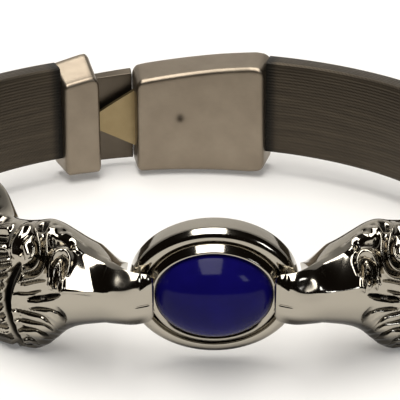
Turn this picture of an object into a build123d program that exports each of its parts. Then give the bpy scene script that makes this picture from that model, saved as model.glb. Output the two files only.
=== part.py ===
# Bracelet with two maned animal heads gripping an oval blue stone, on a flat dark band with a box clasp.
# Millimetres, +Z up along the wrist, front towards -Y, resting on Z = 0.
import math
import os

from build123d import *

os.makedirs("parts", exist_ok=True)

# Loop of the bracelet, measured on the middle of the band
front_radius = 41.6
front_reach = 25.4
back_radius = 41.6
back_reach = 25.55
back_shift = -3.4
back_left_turn = -26.0
back_right_turn = 27.0

# Fits between pieces
clearance = 0.08

# Flexible band
band_width = 13.0
band_thickness = 2.7
band_edge_round = 0.5
band_insert = 2.6

# Stone and its setting
stone_length = 13.0
stone_width = 10.0
stone_dome = 3.6
stone_girdle = 0.8
girdle_out = 3.4
lip_height = 0.85
bezel_wall = 1.2
bezel_slope = 0.65
ring_length = 18.8
ring_width = 15.2
ring_front = 3.4
ring_back = -0.5
ring_round = 1.1
groove_width = 0.15
groove_depth = 0.5
bezel_round = 0.35

# Animal heads, each one casting
head_start = 5.8
head_length = 24.2
head_height = 16.0
head_depth = 7.0
head_inner = -1.45
head_nose_round = 0.9
head_step = 0.3
head_rim = 0.5
socket_wall = 0.75
socket_start = 0.70
socket_full = 0.87
inner_fullness = 2.0
socket_fullness = 7.0
nose_swell = 0.45
face_end = 0.66
face_rows = 42
neck_rows = 12
outer_columns = 44
inner_columns = 12

# Box clasp, placed along the back arc from the point straight behind the stone
box_start = -7.3
box_length = 18.0
box_bottom = -9.2
box_top_open_end = 4.7
box_top_band_end = 6.2
box_thickness = 5.4
box_wall = 0.7
box_edge_round = 0.45
box_top_tilt = 0.09
neck_gap = 5.2
cap_length = 5.2
cap_bottom = -8.7
cap_top_band_end = 5.1
cap_top_peak = 5.9
cap_top_neck = 3.9
cap_top_tilt = 0.30
cap_peak_at = 4.3
cap_thickness = 5.2
cap_corner = 1.2
cap_plate = 1.3
cap_plate_top = 3.9
tongue_leaf = 0.6
tongue_tip = 2.2
tongue_base = 8.0
tongue_reach = 11.0
tongue_root = 1.2
tongue_spread = 0.6
rivet_radius = 0.9
rivet_depth = 0.3
rivet_along = -1.1
rivet_up = -1.3

front_centre = (0, front_radius - front_reach)
back_centre = (back_shift, back_reach - back_radius)
head_end = head_start + head_length
cap_face = box_start - neck_gap
cap_end = cap_face - cap_length
box_end = box_start + box_length


# Points on the two arcs, at a distance along them and a distance outside the band's middle
def front_at(s, out=0.0):
    t = s / front_radius
    r = front_radius + out
    return (front_centre[0] + r * math.sin(t), front_centre[1] - r * math.cos(t))


def back_at(s, out=0.0):
    t = s / back_radius
    r = back_radius + out
    return (back_centre[0] + r * math.sin(t), back_centre[1] + r * math.cos(t))


# The point where two arcs meet that join one place and direction to another
def joint_point(start, start_way, end, end_way):
    vx, vy = end[0] - start[0], end[1] - start[1]
    wx, wy = start_way[0] + end_way[0], start_way[1] + end_way[1]
    a = 2 * (1 - start_way[0] * end_way[0] - start_way[1] * end_way[1])
    b = 2 * (vx * wx + vy * wy)
    c = -(vx * vx + vy * vy)
    d = (-b + math.sqrt(b * b - 4 * a * c)) / (2 * a)
    x = (start[0] + d * start_way[0] + end[0] - d * end_way[0]) / 2
    y = (start[1] + d * start_way[1] + end[1] - d * end_way[1]) / 2
    return (x, y)


# Middle of each half of the band: from inside the head's socket along the front arc, round the side
# of the wrist to a place on the back arc, and along the back arc to inside the clasp
def band_line(side, back_turn, clasp_end):
    start_turn = side * head_end / front_radius
    end_turn = back_turn / back_radius
    start_way = (side * math.cos(start_turn), side * math.sin(start_turn))
    end_way = (-side * math.cos(end_turn), side * math.sin(end_turn))
    socket = front_at(side * (head_end - band_insert))
    start = front_at(side * head_end)
    end = back_at(back_turn)
    inside = back_at(clasp_end - side * band_insert)
    middle = joint_point(start, start_way, end, end_way)
    socket_turn = side * (head_end - band_insert) / front_radius
    first = TangentArc(socket, start, tangent=(side * math.cos(socket_turn), side * math.sin(socket_turn)))
    second = TangentArc(start, middle, tangent=start_way)
    third = TangentArc(middle, end, tangent=second % 1)
    return [first, second, third, TangentArc(end, inside, tangent=end_way)]


with BuildLine() as left_line:
    band_line(-1, back_left_turn, cap_end)

with BuildLine() as right_line:
    band_line(1, back_right_turn, box_end)


def mix(a, b, t):
    return a + (b - a) * t


def smooth(edge0, edge1, x):
    t = min(1.0, max(0.0, (x - edge0) / (edge1 - edge0)))
    return t * t * (3 - 2 * t)


# Cross-sections of a head from nose to neck. The first column is the share of head_length,
# heights are shares of head_height above the band's middle, outs are shares of head_depth
# outside it, and the last two are the fullness of the upper and lower cheek.
COLUMNS = ("along", "top", "top_out", "bottom", "bottom_out", "crest", "crest_out", "upper", "lower")
SECTIONS = (
    (0.00, 0.195, 0.72, -0.155, 0.72, 0.102, 0.88, 1.7, 1.9),
    (0.06, 0.196, 0.63, -0.190, 0.68, 0.092, 0.94, 1.5, 1.9),
    (0.15, 0.200, 0.50, -0.222, 0.61, 0.080, 0.99, 1.4, 1.9),
    (0.24, 0.230, 0.42, -0.258, 0.58, 0.076, 1.01, 1.4, 1.9),
    (0.33, 0.286, 0.36, -0.310, 0.55, 0.074, 1.00, 1.5, 1.9),
    (0.39, 0.335, 0.33, -0.374, 0.52, 0.062, 0.97, 1.6, 1.9),
    (0.45, 0.378, 0.31, -0.472, 0.50, 0.040, 0.93, 1.9, 2.0),
    (0.50, 0.390, 0.30, -0.548, 0.48, 0.010, 0.90, 2.1, 2.1),
    (0.56, 0.362, 0.29, -0.592, 0.46, -0.010, 0.88, 2.3, 2.2),
    (0.63, 0.333, 0.27, -0.608, 0.44, -0.030, 0.85, 2.3, 2.3),
    (0.70, 0.320, 0.25, -0.610, 0.40, -0.040, 0.80, 2.3, 2.3),
    (0.77, 0.342, 0.22, -0.615, 0.34, -0.040, 0.74, 2.4, 2.4),
    (0.84, 0.425, 0.14, -0.575, 0.22, -0.030, 0.62, 3.2, 3.2),
    (0.89, 0.464, 0.06, -0.520, 0.10, -0.010, 0.48, 4.5, 4.5),
    (1.00, 0.466, 0.00, -0.466, 0.00, 0.000, 0.31, 5.5, 5.5),
)


# A head's cross-section at a share of its length, eased between the rows of the table
def section(along):
    rows = SECTIONS
    k = 0
    while k < len(rows) - 2 and along > rows[k + 1][0]:
        k += 1
    t = (along - rows[k][0]) / (rows[k + 1][0] - rows[k][0])
    before = rows[max(k - 1, 0)]
    after = rows[min(k + 2, len(rows) - 1)]
    values = {}
    for i, name in enumerate(COLUMNS):
        a, b = rows[k][i], rows[k + 1][i]
        slope_a = (b - before[i]) / (rows[k + 1][0] - before[0])
        slope_b = (after[i] - a) / (after[0] - rows[k][0])
        width = rows[k + 1][0] - rows[k][0]
        values[name] = (
            (2 * t**3 - 3 * t**2 + 1) * a
            + (t**3 - 2 * t**2 + t) * slope_a * width
            + (-2 * t**3 + 3 * t**2) * b
            + (t**3 - t**2) * slope_b * width
        )
    return values


# Distance along the front arc at which a flat ring's edge lies, and how far out a flat face is there
def arc_at(x, out):
    return front_radius * math.asin(x / (front_radius + out))


def flat_out(out, along_arc):
    return (front_radius + out) / math.cos(along_arc / front_radius) - front_radius


lip_front = girdle_out + lip_height
bezel_length = stone_length + 2 * bezel_wall
bezel_width = stone_width + 2 * bezel_wall
bezel_edge = arc_at(bezel_length / 2 + clearance, girdle_out)
ring_edge = arc_at(ring_length / 2 + clearance, ring_front)
ring_foot = arc_at(ring_length / 2 + clearance, head_inner)
socket_out = band_thickness / 2 + socket_wall


# How far a share of the head's length lies on the way from the plain back to the band's socket
def socket_share(along):
    return smooth(socket_start, socket_full, along)


# The wrist side of a head: it bridges the bezel and the ring, drops beside the ring's upright edge,
# then lies flat, then grows into the socket
def inner_out(s):
    over_bezel = flat_out(lip_front + clearance, s)
    over_ring = flat_out(ring_front + clearance, s)
    flat = mix(head_inner, -socket_out, socket_share((s - head_start) / head_length))
    if s <= bezel_edge:
        return over_bezel
    if s <= bezel_edge + head_step:
        return mix(over_bezel, over_ring, (s - bezel_edge) / head_step)
    if s <= ring_edge:
        return over_ring
    if s <= ring_foot:
        return mix(over_ring, flat, (s - ring_edge) / (ring_foot - ring_edge))
    return flat


# Relief of a head, one row for each raised (+) or sunk (-) stroke: lift is a share of head_depth,
# width a share of head_height, and each point a share of head_length and of head_height
STROKES = {
    "nostril": (-0.055, 0.042, ((0.115, 0.140), (0.135, 0.140))),
    "nostril_rim": (0.030, 0.028, ((0.165, 0.180), (0.178, 0.140), (0.165, 0.100))),
    "mouth": (-0.050, 0.022, ((0.00, -0.020), (0.06, -0.075))),
    "brow": (0.045, 0.030, ((0.35, 0.285), (0.41, 0.318), (0.48, 0.362))),
    "under_brow": (-0.075, 0.022, ((0.35, 0.262), (0.44, 0.297))),
    "outer_lid": (0.055, 0.020, ((0.335, 0.18), (0.375, 0.25), (0.405, 0.19), (0.395, 0.075))),
    "eye": (0.045, 0.020, ((0.364, 0.185), (0.360, 0.085))),
    "curl": (0.085, 0.060, ((0.51, 0.24), (0.50, 0.22))),
    "curl_hollow": (-0.075, 0.020, ((0.49, 0.33), (0.46, 0.26), (0.47, 0.17), (0.52, 0.125))),
    "curl_rim": (0.050, 0.022, ((0.46, 0.35), (0.435, 0.26), (0.44, 0.155), (0.48, 0.08), (0.54, 0.045))),
    "cheek_slit": (-0.085, 0.024, ((0.37, -0.025), (0.51, -0.11))),
    "first_strand": (-0.045, 0.020, ((0.40, -0.32), (0.44, -0.22), (0.58, -0.225))),
    "second_strand": (-0.050, 0.020, ((0.46, -0.30), (0.58, -0.305))),
    "third_strand": (-0.050, 0.020, ((0.455, -0.41), (0.50, -0.365), (0.57, -0.39))),
    "fourth_strand": (-0.045, 0.020, ((0.51, -0.53), (0.575, -0.47))),
    "jowl_groove": (-0.115, 0.030, ((0.565, 0.075), (0.61, -0.09), (0.625, -0.27), (0.60, -0.48))),
    "neck_1": (-0.050, 0.022, ((0.62, 0.28), (0.84, 0.21))),
    "neck_2": (-0.050, 0.022, ((0.62, 0.16), (0.85, 0.08))),
    "neck_3": (-0.050, 0.022, ((0.64, 0.04), (0.86, -0.05))),
    "neck_4": (-0.050, 0.022, ((0.66, -0.09), (0.86, -0.17))),
    "neck_5": (-0.050, 0.022, ((0.66, -0.22), (0.86, -0.29))),
    "neck_6": (-0.050, 0.022, ((0.65, -0.36), (0.85, -0.40))),
}


# Distance from a point on the head's face to a stroke through some points, all in millimetres
def stroke_distance(along, up, points):
    nearest = head_length
    for (a0, h0), (a1, h1) in zip(points, points[1:]):
        x0, y0 = a0 * head_length, h0 * head_height
        dx, dy = a1 * head_length - x0, h1 * head_height - y0
        t = ((along - x0) * dx + (up - y0) * dy) / (dx * dx + dy * dy)
        t = min(1.0, max(0.0, t))
        nearest = min(nearest, math.hypot(along - x0 - t * dx, up - y0 - t * dy))
    return nearest


def relief(along, up):
    lifts = 0.0
    for lift, width, points in STROKES.values():
        distance = stroke_distance(along, up, points)
        lifts += lift * head_depth * math.exp(-((distance / (width * head_height)) ** 2))
    return lifts


# One point on a head: s is the distance along the front arc, turn goes from the crest over the top
def head_point(s, turn, swell=1.0):
    a = (s - head_start) / head_length
    row = section(min(1.0, max(0.0, a)))
    top = row["top"] * head_height
    bottom = row["bottom"] * head_height
    crest = row["crest"] * head_height
    crest_out = row["crest_out"] * head_depth
    c = math.cos(turn)
    q = math.sin(turn)
    edge_z = top if q >= 0 else bottom
    edge_out = (row["top_out"] if q >= 0 else row["bottom_out"]) * head_depth
    under = inner_out(s)
    edge_out = max(edge_out, under + head_rim)
    if c >= 0:
        power = 2.0 / (row["upper"] if q >= 0 else row["lower"])
        out = edge_out + (crest_out - edge_out) * abs(c) ** power
        z = crest + (edge_z - crest) * abs(q) ** power
        slope_out = abs(c) * abs(edge_z - crest)
        slope_z = abs(q) * abs(crest_out - edge_out)
        size = math.hypot(slope_out, slope_z) or 1.0
        r = relief(s - head_start, z) * smooth(0.0, 0.25, c) * smooth(0.0, 0.03, a)
        out += r * slope_out / size
        z += math.copysign(r * slope_z / size, q)
    else:
        power = 2.0 / mix(inner_fullness, socket_fullness, socket_share(a))
        out = edge_out - (edge_out - under) * abs(c) ** power
        z = crest + (edge_z - crest) * abs(q) ** power
    if swell < 1.0:
        centre_out = (crest_out + under) / 2
        centre_z = (top + bottom) / 2
        out = max(mix(centre_out, out, swell), under)
        z = mix(centre_z, z, swell)
    return (s, out, z)


def on_arc(s, out, z, side):
    return deck.from_local_coords(Vector(*front_at(side * s, out), z))


# A pocket point for the band's end, on a rectangle with the same turn as the section
def pocket_point(s, turn):
    half_out = band_thickness / 2 + clearance
    half_up = band_width / 2 + clearance
    c = math.cos(turn)
    q = math.sin(turn)
    scale = 1 / max(abs(c), abs(q), 1e-9)
    return (s, half_out * c * scale, half_up * q * scale)


def turns():
    out = [mix(-math.pi / 2, math.pi / 2, i / outer_columns) for i in range(outer_columns)]
    back = [mix(math.pi / 2, 1.5 * math.pi, i / inner_columns) for i in range(inner_columns)]
    return out + back


# Distances of a head's rings: close at the round nose, at the steps over the setting and on the face
def stations():
    close = [head_start + head_nose_round * k for k in (0.03, 0.15, 0.4, 0.75)]
    fixed = [bezel_edge, bezel_edge + head_step, ring_edge, ring_foot]
    first = head_start + head_nose_round
    middle = head_start + face_end * head_length
    spread = [mix(first, middle, k / face_rows) for k in range(face_rows)]
    spread += [mix(middle, head_end, k / neck_rows) for k in range(neck_rows + 1)]
    kept = [s for s in spread if min(abs(s - f) for f in fixed) > 0.6 * head_step]
    return sorted(close + fixed + kept)


# Rings of points from the nose to the neck, round its end and down into the pocket
def head_rings():
    rings = []
    for s in stations():
        t = min(1.0, (s - head_start) / head_nose_round)
        swell = nose_swell + (1 - nose_swell) * math.sqrt(1 - (1 - t) ** 2)
        rings.append([head_point(s, turn, swell) for turn in turns()])
    rings.append([pocket_point(head_end, turn) for turn in turns()])
    rings.append([pocket_point(head_end - band_insert - clearance, turn) for turn in turns()])
    return rings


rings_of_head = head_rings()

# The origin is under the middle of the whole bracelet, so the stone stands a little to one side,
# and the lowest point of the heads is on the ground
left_most = left_line.line.bounding_box().min.X - band_thickness / 2
right_most = right_line.line.bounding_box().max.X + band_thickness / 2
front_most = -front_reach - girdle_out - stone_dome
back_most = back_reach + box_thickness / 2
stone_x = -(left_most + right_most) / 2
shift_y = -(front_most + back_most) / 2
mid_height = -min(up for ring in rings_of_head for s, out, up in ring)
deck = Plane(origin=(stone_x, shift_y, mid_height))


def closed_solid(rings, side):
    grid = [[on_arc(*p, side) for p in ring] for ring in rings]
    nose = sum(grid[0], Vector(0, 0, 0)) * (1 / len(grid[0]))
    floor = sum(grid[-1], Vector(0, 0, 0)) * (1 / len(grid[-1]))
    triangles = []
    count = len(grid[0])
    for j in range(count):
        k = (j + 1) % count
        triangles.append((nose, grid[0][k], grid[0][j]))
        triangles.append((floor, grid[-1][j], grid[-1][k]))
        for i in range(len(grid) - 1):
            a, b, c, d = grid[i][j], grid[i][k], grid[i + 1][k], grid[i + 1][j]
            triangles.append((a, b, c))
            triangles.append((a, c, d))
    faces = [Face(Wire.make_polygon(t, close=True)) for t in triangles]
    solid = Solid(Shell(faces))
    return solid if solid.volume > 0 else -solid


# The heads are castings that mirror each other across the stone
with BuildPart() as head_left:
    add(closed_solid(rings_of_head, -1), clean=False)
head_left.part.label = "head_left"
export_step(head_left.part, "parts/head_left.step")

with BuildPart() as head_right:
    across_stone = Plane(origin=deck.origin, z_dir=(1, 0, 0))
    add(head_left.part.mirror(across_stone), clean=False)
head_right.part.label = "head_right"
export_step(head_right.part, "parts/head_right.step")


# Planes that face outward from the front of the bracelet, with X along it and Y up
def front_plane(out):
    return Plane(origin=(stone_x, shift_y - front_reach - out, mid_height), x_dir=(1, 0, 0), z_dir=(0, -1, 0))


# An oval dome about the stone's girdle, grown by a gap for the seat that holds it
def dome(gap=0.0):
    ball = Sphere(1, mode=Mode.PRIVATE)
    by = (stone_length / 2 + gap, stone_width / 2 + gap, stone_dome + gap)
    return front_plane(girdle_out).location * scale(ball, by=by, mode=Mode.PRIVATE)


# The stone is an oval cabochon: a short girdle under a domed top
stone_dome_solid = dome()
with BuildPart() as stone:
    add(stone_dome_solid)
    split(bisect_by=front_plane(girdle_out), keep=Keep.TOP)
    with BuildSketch(front_plane(girdle_out)):
        Ellipse(stone_length / 2, stone_width / 2)
    extrude(amount=-stone_girdle)
stone.part.label = "stone"
export_step(stone.part, "parts/stone.step")

# The setting is one soldered piece: a thick rounded oval ring, and the sloping bezel that holds the stone
seat = dome(clearance)
foot_out = ring_front - groove_depth
lip_wall = bezel_wall - bezel_slope
with BuildPart() as stone_setting:
    with BuildSketch(front_plane(ring_back)):
        Ellipse(ring_length / 2, ring_width / 2)
    extrude(amount=ring_front - ring_back)
    fillet(stone_setting.edges(), ring_round)
    with BuildSketch(front_plane(ring_front)):
        Ellipse(bezel_length / 2 + groove_width, bezel_width / 2 + groove_width)
    extrude(amount=-groove_depth, mode=Mode.SUBTRACT)
    with BuildSketch(front_plane(foot_out)):
        Ellipse(bezel_length / 2, bezel_width / 2)
    with BuildSketch(front_plane(lip_front)):
        Ellipse(stone_length / 2 + lip_wall, stone_width / 2 + lip_wall)
    loft()
    fillet(stone_setting.faces().sort_by(Axis.Y)[0].outer_wire().edges(), bezel_wall * bezel_round / 2)
    with BuildSketch(front_plane(girdle_out - stone_girdle - clearance)):
        Ellipse(stone_length / 2 + clearance, stone_width / 2 + clearance)
    extrude(amount=stone_girdle + clearance, mode=Mode.SUBTRACT)
    add(seat, mode=Mode.SUBTRACT)
stone_setting.part.label = "stone_setting"
export_step(stone_setting.part, "parts/stone_setting.step")


# Plan of a length of the clasp: a sector of the back arc between two distances outside its middle
def sector(start, end, inner, outer):
    turn = math.degrees((end - start) / back_radius)
    first = 90 - math.degrees(end / back_radius)
    near = CenterArc(back_centre, back_radius + inner, first, turn)
    far = CenterArc(back_centre, back_radius + outer, first, turn)
    Line(near @ 0, far @ 0)
    Line(near @ 1, far @ 1)


# A plane through the back arc that faces up a slope between two heights, and may tilt up to the outside
def slope_plane(start, start_up, end, end_up, tilt=0.0):
    a = Vector(*back_at(start), start_up)
    b = Vector(*back_at(end), end_up)
    across = Vector(*back_at(start, 1)) - Vector(*back_at(start)) + Vector(0, 0, tilt)
    normal = across.cross(b - a)
    normal = normal if normal.Z > 0 else -normal
    return Plane(origin=deck.from_local_coords(a), z_dir=normal)


# The direction out of the wrist at a distance along the back arc
def outward_at(s):
    return Vector(math.sin(s / back_radius), math.cos(s / back_radius), 0)


# Each half of the band, one flat flexible length with softened edges
def band_part(plan):
    path = deck.location * plan
    with BuildPart() as band:
        with BuildSketch(Plane(origin=path @ 0, x_dir=(0, 0, 1), z_dir=path % 0)):
            RectangleRounded(band_width, band_thickness, band_edge_round)
        sweep(path=path)
    return band


band_left = band_part(left_line.line)
band_left.part.label = "band_left"
export_step(band_left.part, "parts/band_left.step")

band_right = band_part(right_line.line)
band_right.part.label = "band_right"
export_step(band_right.part, "parts/band_right.step")

# The box of the clasp is hollow for the tongue and has a socket for the band at its closed end
hollow_out = box_thickness / 2 - box_wall
hollow_end = box_start + tongue_reach + 2 * box_wall
band_slot_out = band_thickness / 2 + clearance
band_slot_up = band_width / 2 + clearance
with BuildPart() as clasp_box:
    with BuildSketch(deck.offset(box_bottom)):
        with BuildLine():
            sector(box_start, box_end, -box_thickness / 2, box_thickness / 2)
        make_face()
    extrude(amount=box_top_band_end + box_wall - box_bottom)
    top_plane = slope_plane(box_start, box_top_open_end, box_end, box_top_band_end, box_top_tilt)
    split(bisect_by=top_plane, keep=Keep.BOTTOM)
    fillet(clasp_box.edges().filter_by(Axis.Z), box_edge_round)
    chamfer(clasp_box.faces().sort_by(Axis.Z)[0].edges(), box_edge_round / 2)
    chamfer(clasp_box.faces().sort_by(Axis.Z)[-1].edges(), box_edge_round / 2)
    with BuildSketch(deck.offset(box_bottom + box_wall)):
        with BuildLine():
            sector(box_start - box_wall, hollow_end, -hollow_out, hollow_out)
        make_face()
    extrude(amount=box_top_open_end - box_bottom - 2 * box_wall, mode=Mode.SUBTRACT)
    with BuildSketch(deck.offset(-band_slot_up)):
        with BuildLine():
            sector(box_end - band_insert - clearance, box_end + box_wall, -band_slot_out, band_slot_out)
        make_face()
    extrude(amount=2 * band_slot_up, mode=Mode.SUBTRACT)
    rivet_place = deck.from_local_coords(Vector(*back_at(rivet_along, -box_thickness / 2), rivet_up))
    with BuildSketch(Plane(origin=rivet_place, z_dir=outward_at(rivet_along))):
        Circle(rivet_radius)
    extrude(amount=rivet_depth, both=True, mode=Mode.SUBTRACT)
clasp_box.part.label = "clasp_box"
export_step(clasp_box.part, "parts/clasp_box.step")

tongue_middle = (box_bottom + box_top_open_end) / 2
tongue_start = cap_face - tongue_root
tongue_stop = box_start + tongue_reach
fold_inner = -1.5 * tongue_leaf - tongue_spread

# The end cap of the other half holds the band, and its plate covers the outside of the neck
with BuildPart() as clasp_end_cap:
    with BuildSketch(deck.offset(cap_bottom)):
        with BuildLine():
            sector(cap_end, cap_face, -cap_thickness / 2, cap_thickness / 2)
        make_face()
    extrude(amount=cap_top_peak + cap_thickness * cap_top_tilt + box_wall - cap_bottom)
    peak = cap_end + cap_peak_at
    rise = slope_plane(cap_end, cap_top_band_end, peak, cap_top_peak, cap_top_tilt)
    split(bisect_by=rise, keep=Keep.BOTTOM)
    fall = slope_plane(peak, cap_top_peak, cap_face, cap_top_neck, cap_top_tilt)
    split(bisect_by=fall, keep=Keep.BOTTOM)
    fillet(clasp_end_cap.edges().filter_by(Axis.Z), cap_corner)
    plate_inner = cap_thickness / 2 - cap_plate
    with BuildSketch(deck.offset(cap_bottom)):
        with BuildLine():
            sector(cap_face - cap_corner, box_start - clearance, plate_inner, cap_thickness / 2)
        make_face()
    extrude(amount=cap_plate_top - cap_bottom)
    with BuildSketch(deck.offset(-band_slot_up)):
        with BuildLine():
            sector(cap_end - box_wall, cap_end + band_insert + clearance, -band_slot_out, band_slot_out)
        make_face()
    extrude(amount=2 * band_slot_up, mode=Mode.SUBTRACT)
    with BuildSketch(deck.offset(tongue_middle - tongue_tip / 2 - clearance)):
        with BuildLine():
            slot_out = tongue_leaf / 2 + clearance
            sector(tongue_start - clearance, cap_face + clearance, -slot_out, slot_out)
        make_face()
    extrude(amount=tongue_tip + 2 * clearance, mode=Mode.SUBTRACT)
clasp_end_cap.part.label = "clasp_end_cap"
export_step(clasp_end_cap.part, "parts/clasp_end_cap.step")

# The tongue widens from its root in the cap to the mouth of the box, then folds back inside as a spring
with BuildPart() as clasp_tongue:
    with BuildSketch(deck.offset(tongue_middle - tongue_base / 2)):
        with BuildLine():
            sector(tongue_start, box_start, -tongue_leaf / 2, tongue_leaf / 2)
        make_face()
    extrude(amount=tongue_base)
    upper = slope_plane(cap_face, tongue_middle + tongue_tip / 2, box_start, tongue_middle + tongue_base / 2)
    lower = slope_plane(cap_face, tongue_middle - tongue_tip / 2, box_start, tongue_middle - tongue_base / 2)
    split(bisect_by=upper, keep=Keep.BOTTOM)
    split(bisect_by=lower, keep=Keep.TOP)
    with BuildSketch(deck.offset(tongue_middle - tongue_base / 2)):
        with BuildLine():
            sector(box_start, tongue_stop, -tongue_leaf / 2, tongue_leaf / 2)
        make_face()
        with BuildLine():
            sector(box_start + tongue_leaf, tongue_stop, fold_inner, fold_inner + tongue_leaf)
        make_face()
        with BuildLine():
            sector(tongue_stop - tongue_leaf, tongue_stop, fold_inner, tongue_leaf / 2)
        make_face()
    extrude(amount=tongue_base)
clasp_tongue.part.label = "clasp_tongue"
export_step(clasp_tongue.part, "parts/clasp_tongue.step")
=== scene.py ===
"""Dresses the animal head bracelet: cast heads, setting, stone, woven band and box clasp."""

import math

import bmesh
import bpy
import numpy as np
from mathutils import Matrix, Vector


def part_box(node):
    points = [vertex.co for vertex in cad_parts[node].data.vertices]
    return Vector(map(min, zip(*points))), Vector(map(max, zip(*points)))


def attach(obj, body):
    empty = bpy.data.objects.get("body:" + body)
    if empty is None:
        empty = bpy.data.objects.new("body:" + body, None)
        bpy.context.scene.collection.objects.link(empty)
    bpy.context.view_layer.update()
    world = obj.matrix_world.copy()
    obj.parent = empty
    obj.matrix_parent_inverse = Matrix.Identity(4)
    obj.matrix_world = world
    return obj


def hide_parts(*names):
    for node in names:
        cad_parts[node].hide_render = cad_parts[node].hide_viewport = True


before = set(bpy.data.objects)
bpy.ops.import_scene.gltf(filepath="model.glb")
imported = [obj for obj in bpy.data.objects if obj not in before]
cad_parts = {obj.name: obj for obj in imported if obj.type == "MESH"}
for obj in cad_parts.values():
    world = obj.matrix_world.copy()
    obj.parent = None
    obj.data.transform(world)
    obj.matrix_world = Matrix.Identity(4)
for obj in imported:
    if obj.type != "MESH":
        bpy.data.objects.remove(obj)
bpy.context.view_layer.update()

bl_info = {
    "name": "Animal head bracelet",
    "version": (1, 0, 0),
    "blender": (4, 5, 0),
    "location": "View3D > Sidebar > Bracelet",
    "description": "Models and finishes a silver bracelet with two animal heads and a blue stone",
    "category": "Add Mesh",
}

MM = 0.001

# The stone's box in the frame gives the middle of the part's width and height, in metres
STONE_LOW, STONE_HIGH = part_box("stone")
STONE_X = (STONE_LOW[0] + STONE_HIGH[0]) / 2
MID_Z = (STONE_LOW[2] + STONE_HIGH[2]) / 2

# Loop of the bracelet in millimetres, from its middle: an arc at the front and one at the back
FRONT_RADIUS = 41.6
FRONT_REACH = 25.4
BACK_RADIUS = 41.6
BACK_REACH = 25.55
BACK_SHIFT = -3.4
BACK_LEFT_TURN = -26.0
BACK_RIGHT_TURN = 27.0

# Stone and setting; a distance out is measured from the front arc
STONE_LENGTH = 13.0
STONE_WIDTH = 10.0
STONE_DOME = 3.6
STONE_GIRDLE = 0.8
GIRDLE_OUT = 3.4
LIP_HEIGHT = 0.85
BEZEL_WALL = 1.2
BEZEL_SLOPE = 0.65
RING_LENGTH = 18.8
RING_WIDTH = 15.2
RING_FRONT = 3.4
RING_BACK = -0.5
CLEARANCE = 0.08

# Heads: distances along the front arc from the stone
HEAD_START = 5.8
HEAD_LENGTH = 24.2
HEAD_HEIGHT = 16.0
HEAD_DEPTH = 7.0
HEAD_INNER = -1.45
NOSE_ROUND = 0.7
SOCKET_WALL = 0.75
STEP = 0.3

# What sets the two hand-finished heads apart: the side of the stone, how far the cheek flares to the eye, and
# the height of the nostril, the lift of the mound round it and the depth of its pit
HEAD_SHAPES = {
    "left": {"side": -1, "flare": 0.33, "nostril_z": 2.30, "mound": 0.60, "pit": 0.20},
    "right": {"side": 1, "flare": 0.04, "nostril_z": 2.0, "mound": 0.62, "pit": 0.53},
}
# The nostril's place along the head, and how long and high its pit is
NOSTRIL_ALONG = 8.6
NOSTRIL_LENGTH = 0.86
NOSTRIL_HEIGHT = 0.60

# Band, its woven cords, and its ends at the clasp
BAND_WIDTH = 13.0
BAND_THICKNESS = 2.7
BAND_INSERT = 2.6
BAND_EDGE = 0.5
BAND_SPACING = 0.5
CORD_WIDTH = 0.42
CORD_TWIST = 0.6
CAP_END = -17.7
BOX_END = 10.7

# The rivet's dip in the clasp's box: place along the back arc and height, then its depth and width
DIMPLE = (-1.2, -1.4)
DIMPLE_DEPTH = 0.22
DIMPLE_WIDTH = 0.42

# Camera: degrees above the floor, metres from the middle of the band, and millimetres of lens
CAMERA_ELEVATION = 25.1
CAMERA_DISTANCE = 0.240
CAMERA_LENS = 177.1
CAMERA_SHIFT = (-0.0353, -0.0478)

# The stone's front in the frame gives where the loop's middle lies, in millimetres
ORIGIN_Y = STONE_LOW[1] / MM + FRONT_REACH + GIRDLE_OUT + STONE_DOME

# Cross-sections of a head: shares of its length, height and depth, and how full its two halves are
COLUMNS = ("along", "top", "top_out", "bottom", "bottom_out", "crest", "crest_out", "upper", "lower")
SECTIONS = np.array((
    (0.00, 0.195, 0.72, -0.155, 0.72, 0.102, 0.88, 1.7, 1.9),
    (0.06, 0.196, 0.63, -0.190, 0.68, 0.092, 0.94, 1.5, 1.9),
    (0.15, 0.200, 0.50, -0.222, 0.61, 0.080, 0.99, 1.4, 1.9),
    (0.24, 0.230, 0.42, -0.258, 0.58, 0.076, 1.01, 1.4, 1.9),
    (0.33, 0.286, 0.36, -0.310, 0.55, 0.074, 1.00, 1.5, 1.9),
    (0.39, 0.335, 0.33, -0.374, 0.52, 0.062, 0.97, 1.6, 1.9),
    (0.45, 0.378, 0.31, -0.472, 0.50, 0.040, 0.93, 1.9, 2.0),
    (0.50, 0.390, 0.30, -0.548, 0.48, 0.010, 0.90, 2.1, 2.1),
    (0.56, 0.362, 0.29, -0.592, 0.46, -0.010, 0.88, 2.3, 2.2),
    (0.63, 0.333, 0.27, -0.608, 0.44, -0.030, 0.85, 2.3, 2.3),
    (0.70, 0.320, 0.25, -0.610, 0.40, -0.040, 0.80, 2.3, 2.3),
    (0.77, 0.342, 0.22, -0.615, 0.34, -0.040, 0.74, 2.4, 2.4),
    (0.84, 0.425, 0.14, -0.575, 0.22, -0.030, 0.62, 3.2, 3.2),
    (0.89, 0.464, 0.06, -0.520, 0.10, -0.010, 0.48, 4.5, 4.5),
    (1.00, 0.466, 0.00, -0.466, 0.00, 0.000, 0.31, 5.5, 5.5),
))


def to_frame(x, y, z):
    """Millimetres from the loop's middle, z from the band's, to metres in the frame."""
    return np.stack([STONE_X + x * MM, (ORIGIN_Y + y) * MM, MID_Z + z * MM], axis=-1)


def smooth(low, high, x):
    """Eases from 0 at low to 1 at high."""
    t = np.clip((x - low) / (high - low), 0.0, 1.0)
    return t * t * (3 - 2 * t)


def bump(x, centre, width):
    """A rounded ridge across x."""
    return np.exp(-(((x - centre) / width) ** 2))


# Head form


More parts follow.
